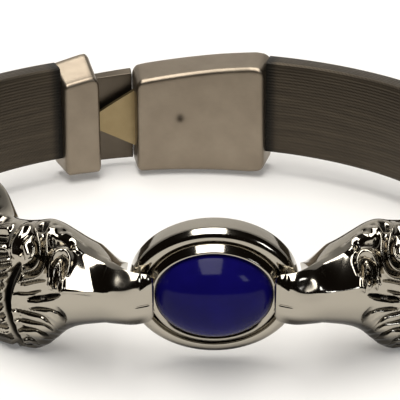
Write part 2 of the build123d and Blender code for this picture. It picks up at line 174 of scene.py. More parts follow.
def head_section(along):
    """The head's cross-section at shares of its length, eased between the table's rows."""
    rows = SECTIONS
    a = np.clip(along, 0.0, 1.0)
    k = np.clip(np.searchsorted(rows[:, 0], a, side="right") - 1, 0, len(rows) - 2)
    before = np.maximum(k - 1, 0)
    after = np.minimum(k + 2, len(rows) - 1)
    start = rows[k, 0]
    width = rows[k + 1, 0] - start
    t = (a - start) / width
    found = {}
    for i, name in enumerate(COLUMNS[1:], 1):
        low = rows[k, i]
        high = rows[k + 1, i]
        slope_low = (high - rows[before, i]) / (rows[k + 1, 0] - rows[before, 0])
        slope_high = (rows[after, i] - low) / (rows[after, 0] - start)
        found[name] = (
            (2 * t**3 - 3 * t**2 + 1) * low
            + (t**3 - 2 * t**2 + t) * slope_low * width
            + (-2 * t**3 + 3 * t**2) * high
            + (t**3 - t**2) * slope_high * width
        )
    return found


def arc_at(x, out):
    """Distance along the front arc to a place beside the stone, some way out from the arc."""
    return FRONT_RADIUS * math.asin(x / (FRONT_RADIUS + out))


def flat_out(out, s):
    """How far out of the arc a flat face before the stone lies."""
    return (FRONT_RADIUS + out) / np.cos(s / FRONT_RADIUS) - FRONT_RADIUS


def socket_share(along):
    """How far a share of the head's length lies on the way from the plain back to the band's socket."""
    return smooth(0.70, 0.87, along)


def head_under(s):
    """How far out the wrist side of the head lies: over the bezel, over the ring, then along the wrist."""
    bezel_edge = arc_at(STONE_LENGTH / 2 + BEZEL_WALL + CLEARANCE, GIRDLE_OUT)
    ring_edge = arc_at(RING_LENGTH / 2 + CLEARANCE, RING_FRONT)
    over_bezel = flat_out(GIRDLE_OUT + LIP_HEIGHT + CLEARANCE, s)
    over_ring = flat_out(RING_FRONT + CLEARANCE, s)
    socket = socket_share((s - HEAD_START) / HEAD_LENGTH)
    flat = HEAD_INNER + (-BAND_THICKNESS / 2 - SOCKET_WALL - HEAD_INNER) * socket
    first = np.clip((s - bezel_edge) / STEP, 0.0, 1.0)
    # Beside the ring the back first drops along its upright wall, then eases in to the wrist
    wall_foot = arc_at(RING_LENGTH / 2 + CLEARANCE, -0.3)
    marks = (ring_edge, wall_foot, wall_foot + 1.4, wall_foot + 3.0)
    second = np.interp(s, marks, (0.0, 0.80, 0.91, 1.0))
    under = over_bezel + (over_ring - over_bezel) * first
    return under + (flat - under) * second


# Head relief: s is the distance along the front arc from the stone, z the height above the band's middle.
# Each stroke is cut (-) or raised (+) by its lift over its width, in millimetres, along its points.

STROKES = {
    "nose_fold": (-0.10, 0.24, ((6.9, 3.0), (6.8, 2.4), (6.9, 1.8))),
    "mouth": (-0.11, 0.13, ((5.6, -0.2), (6.6, -0.35), (7.5, -0.6))),
    "brow": (0.36, 0.36, ((13.4, 4.15), (14.6, 4.85), (15.6, 5.25), (16.6, 5.75), (17.4, 6.1))),
    "under_brow": (-0.48, 0.28, ((14.2, 4.35), (15.2, 4.70), (16.0, 4.80), (16.5, 5.2))),
    "brow_pit": (-0.30, 0.20, ((15.7, 5.60), (15.95, 5.70))),
    "brow_back_pit": (-0.30, 0.20, ((16.7, 6.15), (16.9, 6.20))),
    "outer_lid": (0.46, 0.21, ((13.85, 2.3), (13.95, 3.3), (14.4, 3.95), (15.05, 4.2), (15.55, 3.85),
                               (15.75, 3.1), (15.7, 2.1), (15.45, 1.2), (15.6, 0.5))),
    "lid_groove": (-0.44, 0.13, ((14.2, 2.0), (14.35, 3.1), (14.75, 3.65), (15.15, 3.55), (15.35, 2.8),
                                 (15.2, 1.8), (14.95, 0.9))),
    "inner_lid": (0.34, 0.15, ((14.45, 1.3), (14.5, 2.5), (14.78, 3.1), (15.02, 2.7), (14.95, 1.8),
                               (14.7, 0.8))),
    "eye_slit": (-0.34, 0.11, ((14.72, 2.45), (14.68, 1.4))),
    "front_lid": (0.26, 0.16, ((14.1, 1.9), (14.0, 1.2), (14.25, 0.5))),
    "lid_front_groove": (-0.22, 0.10, ((14.25, 1.7), (14.3, 0.9))),
    "behind_eye": (-0.50, 0.18, ((16.0, 4.4), (16.05, 3.6), (15.98, 2.6), (15.8, 1.8), (15.95, 1.0))),
    "outer_strand": (0.44, 0.25, ((16.95, 5.5), (16.45, 4.4), (16.3, 3.4), (16.45, 2.3), (17.1, 1.5),
                                  (18.2, 0.9), (19.3, 0.3))),
    "strand_groove": (-0.42, 0.16, ((17.3, 5.2), (16.85, 4.3), (16.7, 3.3), (16.95, 2.4), (17.6, 1.75),
                                    (18.8, 1.15))),
    "inner_strand": (0.40, 0.20, ((18.9, 5.9), (17.9, 5.4), (17.2, 4.4), (17.05, 3.3), (17.4, 2.5),
                                  (18.0, 2.0), (18.9, 1.5))),
    "curl_moat": (-0.62, 0.20, ((18.4, 5.1), (17.75, 4.7), (17.45, 3.9), (17.55, 3.1), (18.0, 2.55),
                                (18.9, 2.15))),
    "curl": (0.75, 0.62, ((18.75, 4.2), (18.2, 3.5))),
    "curl_ring": (-0.22, 0.12, ((18.0, 4.3), (17.9, 3.6), (18.4, 3.1))),
    "back_curl": (0.62, 0.50, ((19.9, 5.2), (20.2, 4.1), (20.0, 3.2))),
    "curl_gap": (-0.48, 0.17, ((18.9, 5.0), (19.15, 4.2), (19.3, 3.3))),
    "top_pit": (-0.55, 0.28, ((17.65, 6.0), (18.0, 5.95))),
    "low_strand_groove": (-0.38, 0.13, ((16.3, 1.3), (17.2, 0.95), (18.3, 0.35), (19.3, -0.15))),
    "cheek_slit": (-0.80, 0.26, ((14.8, -0.05), (15.8, -0.65), (16.8, -1.15), (18.4, -1.85))),
    "slit_island": (0.46, 0.15, ((16.3, -1.0), (17.3, -1.4))),
    "over_slit": (-0.40, 0.12, ((16.8, -0.1), (18.2, -0.9), (20.2, -1.5))),
    "under_slit": (-0.52, 0.15, ((18.4, -3.0), (16.9, -2.55), (15.6, -2.5), (15.0, -3.5))),
    "first_strand": (-0.42, 0.12, ((20.5, -3.6), (18.3, -3.6), (16.9, -3.75), (15.9, -5.2))),
    "second_strand": (-0.48, 0.14, ((20.2, -4.9), (18.2, -4.75), (16.9, -4.8), (16.3, -5.6))),
    "third_strand": (-0.70, 0.20, ((20.0, -6.3), (18.0, -5.8), (17.0, -6.8), (16.7, -7.2))),
    "fourth_strand": (-0.48, 0.15, ((20.0, -7.6), (18.8, -7.5), (18.1, -8.4))),
    "fifth_strand": (-0.36, 0.12, ((20.0, -8.7), (19.2, -8.6), (18.8, -9.1))),
    "jowl_hollow": (-0.42, 0.36, ((15.1, -2.0), (14.85, -3.0), (15.0, -4.4))),
    "jowl_groove": (-1.05, 0.40, ((19.4, 2.2), (19.8, 1.2), (20.5, -0.6), (21.0, -2.4), (21.05, -4.2),
                                  (20.7, -6.6), (20.2, -8.8))),
    "groove_lip": (0.26, 0.30, ((19.0, 1.0), (19.7, -0.6), (20.2, -2.4), (20.25, -4.2), (19.9, -6.4),
                                (19.4, -8.4))),
    "neck_ridge": (0.40, 0.30, ((20.3, 1.6), (21.8, 0.7), (24.0, 0.2))),
}

# Pieces of a smooth curve between two points of a stroke
CURVE_STEPS = 5


def smooth_curve(points):
    """A stroke's points as a smooth curve through them."""
    known = np.array(points)
    known = np.vstack([2 * known[0] - known[1], known, 2 * known[-1] - known[-2]])
    curve = []
    for a, b, c, d in zip(known, known[1:], known[2:], known[3:]):
        for i in range(CURVE_STEPS):
            t = i / CURVE_STEPS
            bend = 2 * a - 5 * b + 4 * c - d
            twist = 3 * b - a - 3 * c + d
            curve.append(0.5 * (2 * b + (c - a) * t + bend * t**2 + twist * t**3))
    curve.append(known[-2])
    return np.array(curve)


def carve(total, s, z, lift, width, points):
    """Adds one stroke to the relief. A long one is full in its middle and tapers to both ends."""
    curve = smooth_curve(points)
    reach = 2.6 * width
    low = curve.min(axis=0) - reach
    high = curve.max(axis=0) + reach
    near = (s > low[0]) & (s < high[0]) & (z > low[1]) & (z < high[1])
    if not near.any():
        return
    ss = s[near]
    zz = z[near]
    lengths = np.hypot(*np.diff(curve, axis=0).T)
    marks = np.concatenate([[0.0], np.cumsum(lengths)])
    nearest = np.full(ss.shape, 1e3)
    place = np.zeros(ss.shape)
    for (ax, az), (bx, bz), start, length in zip(curve, curve[1:], marks, lengths):
        t = np.clip(((ss - ax) * (bx - ax) + (zz - az) * (bz - az)) / max(length**2, 1e-9), 0.0, 1.0)
        gap = np.hypot(ss - ax - t * (bx - ax), zz - az - t * (bz - az))
        closer = gap < nearest
        nearest = np.where(closer, gap, nearest)
        place = np.where(closer, start + t * length, place)
    taper = min(0.9, 0.3 * marks[-1])
    ends = np.clip(np.minimum(place, marks[-1] - place) / taper, 0.0, 1.0)
    if marks[-1] < 5 * width:
        ends = np.ones(ss.shape)
    depth = lift * (0.45 + 0.55 * np.sqrt(ends))
    total[near] += depth * np.exp(-((nearest / (width * (0.6 + 0.4 * ends))) ** 2))


def carved_relief(s, z):
    """All strokes together."""
    total = np.zeros(s.shape)
    for lift, width, points in STROKES.values():
        carve(total, s, z, lift, width, points)
    return total


# The cheek between the crest (0) and the top edge (1): a narrow ledge, a flat steep wall, a crisp rim
CHEEK_TURN = (0.0, 0.05, 0.63, 0.66, 1.0)
CHEEK_OUT = (1.0, 0.975, 0.355, 0.32, 0.0)
CHEEK_UP = (0.0, 0.045, 0.915, 0.95, 1.0)


def cheek_profile(share):
    """Shares of the depth and of the height of the upper cheek, with its corners eased."""
    out = np.zeros(share.shape)
    up = np.zeros(share.shape)
    for shift in (-0.012, -0.004, 0.004, 0.012):
        moved = np.clip(share + shift * (1 - (2 * share - 1) ** 2), 0.0, 1.0)
        out += np.interp(moved, CHEEK_TURN, CHEEK_OUT) / 4
        up += np.interp(moved, CHEEK_TURN, CHEEK_UP) / 4
    return out, up


def nostril_dish(s, z, shape):
    """The nostril's pit: 1 in its middle and 0 outside."""
    up = z - shape["nostril_z"]
    return np.exp(-((s - NOSTRIL_ALONG) / NOSTRIL_LENGTH) ** 2 - (up / NOSTRIL_HEIGHT) ** 2)


def modelled_relief(s, z, shape):
    """Broad forms: the nostril's mound, the cheek that flares to the eye, soft waves of the jowl's hair."""
    r = shape["mound"] * np.exp(-((s - 9.0) / 2.0) ** 2 - ((z - shape["nostril_z"]) / 1.3) ** 2)
    r -= shape["pit"] * nostril_dish(s, z, shape)
    ramp = s - 11.1 - 0.75 * np.clip(z - 1.2, 0.0, 3.2)
    rise = np.where(ramp < 0.2, np.maximum(ramp + 0.2, 0.0) ** 2 / 0.8, ramp)
    cheek = (1 - smooth(14.6, 16.4, s)) * smooth(0.5, 1.0, z) * (1 - smooth(4.0, 4.5, z))
    r += shape["flare"] * np.minimum(rise, 3.2) * cheek
    jowl = smooth(15.0, 16.4, s) * (1 - smooth(20.0, 20.8, s)) * (1 - smooth(-3.0, -2.0, z))
    lean = 1.5 * np.exp(-np.maximum(s - 15.6, 0.0) / 0.9) + 0.12 * np.sin(1.5 * s)
    r += 0.07 * np.cos(2 * math.pi * (z + lean) / 1.3) * jowl
    return r


def groove_line(z):
    """Where the deep groove behind the jowl runs, for a height."""
    heights = (-8.8, -6.6, -4.2, -2.4, -0.6, 1.2, 2.2, 3.4, 7.0)
    return np.interp(z, heights, (20.2, 20.7, 21.05, 21.0, 20.5, 19.8, 19.6, 20.7, 21.3))


def neck_relief(s, z):
    """Strands that run down the neck to the plain rim of the band's socket."""
    start = groove_line(z)
    area = smooth(0.45, 1.0, s - start) * (1 - smooth(26.6, 27.6, s))
    phase = (z + 0.42 * (s - 20.5) + 0.25 * np.sin(0.9 * s + 0.5 * z)) / 1.35
    wave = np.cos(2 * math.pi * phase)
    r = (0.34 * np.sign(wave) * np.abs(wave) ** 0.7 + 0.10 * np.cos(2 * math.pi * (3 * phase + 0.2))) * area
    r -= 0.30 * bump(s, 27.75, 0.16)
    r += 0.16 * smooth(27.9, 28.2, s) * (1 - smooth(29.3, 30.0, s))
    return r


def head_surface(s, turn, shape):
    """Points of the cast head and how dark each is: turn 0 is the crest, a quarter turn the top."""
    along = (s - HEAD_START) / HEAD_LENGTH
    row = head_section(along)
    top = row["top"] * HEAD_HEIGHT
    bottom = row["bottom"] * HEAD_HEIGHT
    crest = row["crest"] * HEAD_HEIGHT
    crest_out = row["crest_out"] * HEAD_DEPTH
    under = head_under(s)
    c = np.cos(turn)
    q = np.sin(turn)
    upper = q >= 0
    edge_z = np.where(upper, top, bottom)
    # The rims come down from over the ring to the cheek on one smooth line
    over_setting = np.where(upper, 5.5 - 2.4 * smooth(7.4, 11.6, s), 5.5 - 1.8 * smooth(7.4, 12.4, s))
    over_setting = over_setting - 0.6 * np.maximum(s - 10.4, 0.0)
    edge_out = np.where(upper, row["top_out"], row["bottom_out"]) * HEAD_DEPTH
    edge_out = (edge_out + over_setting + np.hypot(edge_out - over_setting, 0.2)) / 2
    power = 2.0 / np.where(upper, row["upper"], row["lower"])
    inner = 2.0 / (1.1 + 0.9 * smooth(10.0, 13.0, s) + 5.0 * socket_share(along))
    out_share = np.abs(c) ** power
    up_share = np.abs(q) ** power
    # The upper cheek is hollow between the nostril and the eye
    cheek_out, cheek_up = cheek_profile(np.clip(turn / (math.pi / 2), 0.0, 1.0))
    hollow = smooth(9.0, 11.6, s) * (1 - smooth(13.8, 15.0, s)) * np.where(upper, 1.0, 0.0)
    out_share = out_share + (cheek_out - out_share) * hollow
    up_share = up_share + (cheek_up - up_share) * hollow
    out = np.where(
        c >= 0,
        edge_out + (crest_out - edge_out) * out_share,
        edge_out - (edge_out - under) * np.abs(c) ** inner,
    )
    z = crest + (edge_z - crest) * np.where(c >= 0, up_share, np.abs(q) ** inner)
    # The relief is laid on square to the form, and only on the outside
    slope_out = np.abs(c) * np.abs(edge_z - crest)
    slope_z = np.abs(q) * np.abs(crest_out - edge_out)
    size = np.maximum(np.hypot(slope_out, slope_z), 1e-6)
    fade = smooth(-0.02, 0.22, c) * smooth(0.0, 0.02, along)
    cut = carved_relief(s, z) + neck_relief(s, z)
    r = (cut + modelled_relief(s, z, shape)) * fade
    out = out + np.where(c >= 0, r * slope_out / size, 0.0)
    z = z + np.where(c >= 0, np.where(upper, 1.0, -1.0) * r * slope_z / size, 0.0)
    # The tip of the nose is rounded off, and nothing lies under the floor
    swell_t = np.clip(along * HEAD_LENGTH / NOSE_ROUND, 0.0, 1.0)
    swell = 0.72 + 0.28 * np.sqrt(1 - (1 - swell_t) ** 2)
    middle_out = (crest_out + under) / 2
    middle_z = (top + bottom) / 2
    out = np.maximum(middle_out + (out - middle_out) * swell, under)
    z = np.maximum(middle_z + (z - middle_z) * swell, -MID_Z / MM)
    dish = 0.95 * nostril_dish(s, z, shape)
    # Painted shade: the outside darkens below the crest towards the bottom edge; oxide lies in the carved
    # grooves and the nostril's pit
    painted_underside_shade = 0.90 * smooth(0.76, 0.50, c) * np.where(upper, 0.0, 1.0) * smooth(0.0, 0.06, along)
    oxide_and_painted_shade = np.maximum(np.maximum(smooth(-0.08, -0.46, cut), dish), painted_underside_shade)
    return out, z, oxide_and_painted_shade * np.where(c > 0, 1.0, 0.0)


# Mesh helpers


def link_mesh(name, verts, faces, smooth_angle):
    """A new object at the origin from points and faces, shaded smooth up to an angle in degrees."""
    mesh = bpy.data.meshes.new(name)
    mesh.from_pydata([tuple(v) for v in verts], [], faces)
    mesh.validate()
    obj = bpy.data.objects.new(name, mesh)
    bpy.context.scene.collection.objects.link(obj)
    bpy.ops.object.select_all(action="DESELECT")
    obj.select_set(True)
    bpy.context.view_layer.objects.active = obj
    bpy.ops.object.shade_smooth_by_angle(angle=math.radians(smooth_angle))
    return obj


def add_attribute(obj, name, values):
    """A number on each point that a material can read."""
    layer = obj.data.attributes.new(name, "FLOAT", "POINT")
    layer.data.foreach_set("value", np.asarray(values, dtype=np.float32))


def grid_faces(rows, columns, flip=False):
    """Quads between closed rows of points."""
    faces = []
    for i in range(rows - 1):
        for j in range(columns):
            a = i * columns + j
            b = i * columns + (j + 1) % columns
            quad = (a, b, b + columns, a + columns)
            faces.append(quad[::-1] if flip else quad)
    return faces


def finish_piece(obj, material, slot, *nodes):
    """Gives the piece its material and place in the frame. The slot is not used."""
    obj.data.materials.clear()
    obj.data.materials.append(material)
    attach(obj, "root")
    if nodes:
        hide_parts(*nodes)


# Materials


def linear(hex_colour):
    """An sRGB hex colour as linear RGBA."""
    values = [int(hex_colour[i : i + 2], 16) / 255 for i in (1, 3, 5)]
    turned = [v / 12.92 if v <= 0.04045 else ((v + 0.055) / 1.055) ** 2.4 for v in values]
    return (*turned, 1.0)


# Sockets of a colour Mix node
MIX_A = 6
MIX_B = 7


def add_node(tree, kind, links=(), **settings):
    """Adds a node: settings name its properties or its sockets, links pair sockets with outputs."""
    node = tree.nodes.new(kind)
    for key, value in settings.items():
        name = key.replace("_", " ")
        if hasattr(node, key):
            setattr(node, key, value)
        else:
            socket = next(s for s in node.inputs if s.name.lower() == name.lower())
            socket.default_value = value
    for target, source in links:
        tree.links.new(source, node.inputs[target])
    return node


def add_noise(tree, vector, scale, detail):
    """Smooth noise at a place that vector gives."""
    node = add_node(tree, "ShaderNodeTexNoise", [("Vector", vector)], Scale=scale, Detail=detail)
    return node.outputs["Fac"]


def add_oxide_and_painted_shade(tree):
    """How dark each point of the piece is, from oxide in its hollows and from painted shade."""
    return add_node(tree, "ShaderNodeAttribute", attribute_name="oxide_and_painted_shade").outputs["Fac"]


def add_math(tree, operation, *values):
    """The result of a Math node on numbers and other nodes' outputs."""
    node = add_node(tree, "ShaderNodeMath", operation=operation)
    for socket, value in zip(node.inputs, values):
        if isinstance(value, float):
            socket.default_value = value
        else:
            tree.links.new(value, socket)
    return node.outputs[0]


def add_mix(tree, factor, first, second):
    """Colours mixed by a factor; each is an sRGB hex value or another node's output."""
    node = add_node(tree, "ShaderNodeMix", [(0, factor)], data_type="RGBA")
    for socket, colour in ((MIX_A, first), (MIX_B, second)):
        if isinstance(colour, str):
            node.inputs[socket].default_value = linear(colour)
        else:
            tree.links.new(colour, node.inputs[socket])
    return node.outputs[2]


def add_bump(tree, height, strength, distance, links=()):
    """Bump by a height; distance is in metres."""
    return add_node(
        tree, "ShaderNodeBump", [("Height", height), *links], Strength=strength, Distance=distance
    ).outputs["Normal"]


def new_material(name):
    """An empty node material, its tree and its output."""
    material = bpy.data.materials.new(name)
    material.use_nodes = True
    tree = material.node_tree
    tree.nodes.clear()
    out = tree.nodes.new("ShaderNodeOutputMaterial")
    return material, tree, out


def cast_silver(name):
    """Cast silver, polished on the high places, with black oxide where the polishing wheel can't reach, and
    painted shade on the parts that face down.
    """
    material, tree, out = new_material(name)
    place = add_node(tree, "ShaderNodeTexCoord").outputs["Object"]
    marks = add_noise(tree, place, 900.0, 4.0)
    wear = add_noise(tree, place, 260.0, 3.0)
    rough = add_node(tree, "ShaderNodeMapRange", [("Value", wear)], To_Min=0.055, To_Max=0.13)
    dents = add_bump(tree, wear, 0.10, 0.00012)
    grain = add_bump(tree, marks, 0.06, 0.00003, [("Normal", dents)])
    # The attribute brings oxide in carved hollows and painted shade on undersides; the wear noise makes it
    # uneven
    uneven = add_math(tree, "MULTIPLY_ADD", wear, 0.5, 0.7)
    spread = add_math(tree, "MULTIPLY", add_oxide_and_painted_shade(tree), uneven)
    colour = add_mix(tree, spread, "#a7a195", "#1d1a17")
    duller = add_math(tree, "MULTIPLY_ADD", spread, 0.22, rough.outputs[0])
    shader = add_node(
        tree,
        "ShaderNodeBsdfPrincipled",
        [("Base Color", colour), ("Roughness", duller), ("Normal", grain)],
        Metallic=1.0,
    )
    tree.links.new(shader.outputs[0], out.inputs[0])
    return material


def polished_lapis(name):
    """Deep blue opaque stone, polished to a glassy gloss, with faint lighter and darker clouds."""
    material, tree, out = new_material(name)
    place = add_node(tree, "ShaderNodeTexCoord").outputs["Object"]
    cloud = add_noise(tree, place, 320.0, 3.0)
    colour = add_mix(tree, cloud, "#0a083c", "#120d5e")
    shader = add_node(tree, "ShaderNodeBsdfPrincipled", [("Base Color", colour)], Roughness=0.11, IOR=1.5)
    shader.inputs["Specular IOR Level"].default_value = 0.10
    tree.links.new(shader.outputs[0], out.inputs[0])
    return material


def satin_metal(name, high, low, roughness):
    """Metal rubbed with fine abrasive along its length, which leaves a satin with short hairlines."""
    material, tree, out = new_material(name)
    place = add_node(tree, "ShaderNodeTexCoord").outputs["Object"]
    stretch = add_node(tree, "ShaderNodeMapping", [("Vector", place)])
    stretch.inputs["Scale"].default_value = (0.08, 0.08, 1.0)
    hair = add_noise(tree, stretch.outputs[0], 9000.0, 2.0)
    blotch = add_noise(tree, place, 350.0, 4.0)
    clean = add_mix(tree, blotch, low, high)
    # The attribute brings painted shade: round the rivet's dip and on the plate behind the spring
    colour = add_mix(tree, add_oxide_and_painted_shade(tree), clean, "#1f1c19")
    least = roughness - 0.06
    most = roughness + 0.08
    rough = add_node(tree, "ShaderNodeMapRange", [("Value", hair)], To_Min=least, To_Max=most)
    lines = add_bump(tree, hair, 0.18, 0.00002)
    shader = add_node(
        tree,
        "ShaderNodeBsdfPrincipled",
        [("Base Color", colour), ("Roughness", rough.outputs[0]), ("Normal", lines)],
        Metallic=1.0,
    )
    tree.links.new(shader.outputs[0], out.inputs[0])
    return material


def woven_wire(name):
    """Flat band woven from fine dark wire: thin lengthwise cords with a slight twist, a silky dull sheen."""
    material, tree, out = new_material(name)
    chart = add_node(tree, "ShaderNodeUVMap", uv_map="length_and_width")
    parts = add_node(tree, "ShaderNodeSeparateXYZ", [(0, chart.outputs[0])])
    across = add_math(tree, "MULTIPLY", parts.outputs[1], 2 * math.pi / CORD_WIDTH)
    cord = add_math(tree, "SINE", across)
    slant = add_math(tree, "MULTIPLY", parts.outputs[0], 2 * math.pi / CORD_TWIST)
    twist = add_math(tree, "SINE", add_math(tree, "ADD", slant, across))
    height = add_math(tree, "MULTIPLY_ADD", twist, 0.35, cord)
    streak = add_node(tree, "ShaderNodeMapping", [("Vector", chart.outputs[0])])
    streak.inputs["Scale"].default_value = (0.12, 1.6, 1.0)
    cloud = add_noise(tree, streak.outputs[0], 1.0, 4.0)
    clean = add_mix(tree, cloud, "#2e2821", "#564d40")
    # The attribute brings painted shade near and inside the clasp
    colour = add_mix(tree, add_oxide_and_painted_shade(tree), clean, "#181715")
    relief = add_bump(tree, height, 0.30, 0.00005)
    links = [("Base Color", colour), ("Normal", relief)]
    shader = add_node(tree, "ShaderNodeBsdfPrincipled", links, Metallic=0.75, Roughness=0.46)
    tree.links.new(shader.outputs[0], out.inputs[0])
    return material


def pale_paper(name):
    """The photographer's sweep: matt white paper."""
    material, tree, out = new_material(name)
    shader = add_node(tree, "ShaderNodeBsdfPrincipled", Base_Color=linear("#e9e7e4"), Roughness=0.9)
    shader.inputs["Emission Color"].default_value = linear("#fffefc")
    shader.inputs["Emission Strength"].default_value = 0.16
    tree.links.new(shader.outputs[0], out.inputs[0])
    return material


# Pieces


class BraceletSizes(bpy.types.PropertyGroup):
    """How fine the meshes are"""

    head_rows: bpy.props.IntProperty(name="Head rows", description="Rows of points along a head", default=400)
    head_columns: bpy.props.IntProperty(name="Head columns", description="Points round a head", default=220)
    setting_sides: bpy.props.IntProperty(
        name="Setting sides", description="Points round the setting", default=256
    )


# Where the face ends along the arc, its share of a head's rows, and the outside's share of its columns
FACE_END = 21.5
FACE_SHARE = 0.80
OUTSIDE_SHARE = 0.86


def head_stations(count):
    """Distances along the arc for a head's rows, closer together at the face than on the neck."""
    t = np.linspace(0.0, 1.0, count)
    first = HEAD_START + 0.02
    face = first + (FACE_END - first) * np.minimum(t / FACE_SHARE, 1.0)
    neck = np.clip((t - FACE_SHARE) / (1 - FACE_SHARE), 0.0, 1.0)
    return face + (HEAD_START + HEAD_LENGTH - FACE_END) * neck


def head_turns(count):
    """Turns round a head's section: most of them on the outside, which carries the relief."""
    outside = int(count * OUTSIDE_SHARE)
    out = np.linspace(-math.pi / 2, math.pi / 2, outside, endpoint=False)
    return np.concatenate([out, np.linspace(math.pi / 2, 1.5 * math.pi, count - outside, endpoint=False)])


def pocket_ring(turn, grow):
    """Out and height of a rectangle round the band's end, at the same turns as the section."""
    c = np.cos(turn)
    q = np.sin(turn)
    scale = 1 / np.maximum(np.abs(c), np.abs(q))
    return (BAND_THICKNESS / 2 + grow) * c * scale, (BAND_WIDTH / 2 + grow) * q * scale


def build_head(name, shape, rows, columns):
    """One cast head with its band socket."""
    side = shape["side"]
    s = head_stations(rows)
    turn = head_turns(columns)
    grid_s, grid_turn = np.meshgrid(s, turn, indexing="ij")
    out, z, oxide_and_painted_shade = head_surface(grid_s, grid_turn, shape)
    end = HEAD_START + HEAD_LENGTH
    pocket_out, pocket_z = pocket_ring(turn, CLEARANCE)
    for depth in (0.0, BAND_INSERT + CLEARANCE):
        grid_s = np.vstack([grid_s, np.full((1, columns), end - depth)])
        out = np.vstack([out, pocket_out[None, :]])
        z = np.vstack([z, pocket_z[None, :]])
        oxide_and_painted_shade = np.vstack([oxide_and_painted_shade, np.full((1, columns), 0.6)])
    angle = side * grid_s / FRONT_RADIUS
    radius = FRONT_RADIUS + out
    x = radius * np.sin(angle)
    y = FRONT_RADIUS - FRONT_REACH - radius * np.cos(angle)
    points = to_frame(x, y, z)
    nose = points[0].mean(axis=0)
    floor = points[-1].mean(axis=0)
    total = points.shape[0]
    verts = np.vstack([points.reshape(-1, 3), nose[None], floor[None]])
    faces = grid_faces(total, columns, flip=side > 0)
    first_of_last = (total - 1) * columns
    count = total * columns
    for j in range(columns):
        k = (j + 1) % columns
        tip = (count, k, j)
        base = (count + 1, first_of_last + j, first_of_last + k)
        faces.append(tip[::-1] if side > 0 else tip)
        faces.append(base[::-1] if side > 0 else base)
    obj = link_mesh(name, verts, faces, smooth_angle=50)
    add_attribute(obj, "oxide_and_painted_shade", np.concatenate([oxide_and_painted_shade.ravel(), [0.0, 0.8]]))
    return obj


class BRACELET_OT_heads(bpy.types.Operator):
    """Model the two cast heads"""

    bl_idname = "bracelet.heads"
    bl_label = "Cast heads"

    def execute(self, context):
        sizes = context.scene.bracelet
        silver = cast_silver("cast_silver_oxide_and_painted_shade")
        for word, shape in HEAD_SHAPES.items():
            head = build_head("cast_head_" + word, shape, sizes.head_rows, sizes.head_columns)
            finish_piece(head, silver, "polished_silver", "head_" + word)
        return {"FINISHED"}


def oval_sweep(name, profile, sides, smooth_angle):
    """A profile of (half length, half width, out) rows round the stone's oval, closed at both ends."""
    turn = np.linspace(0.0, 2 * math.pi, sides, endpoint=False)
    rows = np.array(profile)
    x = rows[:, 0:1] * np.cos(turn)[None, :]
    z = rows[:, 1:2] * np.sin(turn)[None, :]
    y = -FRONT_REACH - rows[:, 2:3] + 0 * x
    points = to_frame(x, y, z).reshape(-1, 3)
    faces = grid_faces(len(rows), sides)
    low = points[:sides].mean(axis=0)
    high = points[-sides:].mean(axis=0)
    count = len(points)
    points = np.vstack([points, low[None], high[None]])
    last = (len(rows) - 1) * sides
    for j in range(sides):
        k = (j + 1) % sides
        faces.append((count, k, j))
        faces.append((count + 1, last + j, last + k))
    return link_mesh(name, points, faces, smooth_angle)


def rounded(corner, radius, start, steps):
    """Points of a quarter round on a profile: corner is its centre, start its first direction in degrees."""
    points = []
    for i in range(steps + 1):
        angle = math.radians(start + 90 * i / steps)
        points.append((corner[0] + radius * math.cos(angle), corner[1] + radius * math.sin(angle)))
    return points


def setting_profile():
    """The setting from its back, round the ring, down to the bezel's foot and in over the stone's edge."""
    half_length = RING_LENGTH / 2
    half_width = RING_WIDTH / 2
    lip = GIRDLE_OUT + LIP_HEIGHT
    rows = []
    for inset, out in rounded((0.9, RING_BACK + 0.9), 0.9, -90, 8):
        rows.append((half_length + inset - 1.8, half_width + inset - 1.8, out))
    for inset, out in rounded((1.1, RING_FRONT - 1.1), 1.1, 0, 14):
        rows.append((half_length + inset - 2.2, half_width + inset - 2.2, out))
    foot_length = STONE_LENGTH / 2 + BEZEL_WALL
    foot_width = STONE_WIDTH / 2 + BEZEL_WALL
    for inset, out in rounded((0.26, RING_FRONT - 0.16), 0.16, 90, 6)[1:]:
        rows.append((foot_length + inset, foot_width + inset, out))
    foot = RING_FRONT - 0.5
    rows.append((foot_length + 0.08, foot_width + 0.08, foot + 0.05))
    rows.append((foot_length + 0.02, foot_width + 0.02, foot))
    for inset, out in ((0.0, foot + 0.05), (0.05, foot + 0.20), (0.12, foot + 0.32)):
        rows.append((foot_length - inset, foot_width - inset, out))
    top_length = foot_length - BEZEL_SLOPE
    top_width = foot_width - BEZEL_SLOPE
    for inset, out in rounded((0.0, lip - 0.26), 0.26, 20, 7):
        rows.append((top_length + inset - 0.26, top_width + inset - 0.26, out))
    rows.append((STONE_LENGTH / 2 - 0.06, STONE_WIDTH / 2 - 0.06, lip - 0.12))
    rows.append((STONE_LENGTH / 2 - 0.10, STONE_WIDTH / 2 - 0.10, lip - 0.22))
    rows.append((STONE_LENGTH / 2 + 0.02, STONE_WIDTH / 2 + 0.02, GIRDLE_OUT + 0.15))
    rows.append((STONE_LENGTH / 2 + 0.02, STONE_WIDTH / 2 + 0.02, GIRDLE_OUT - STONE_GIRDLE - 0.05))
    return rows


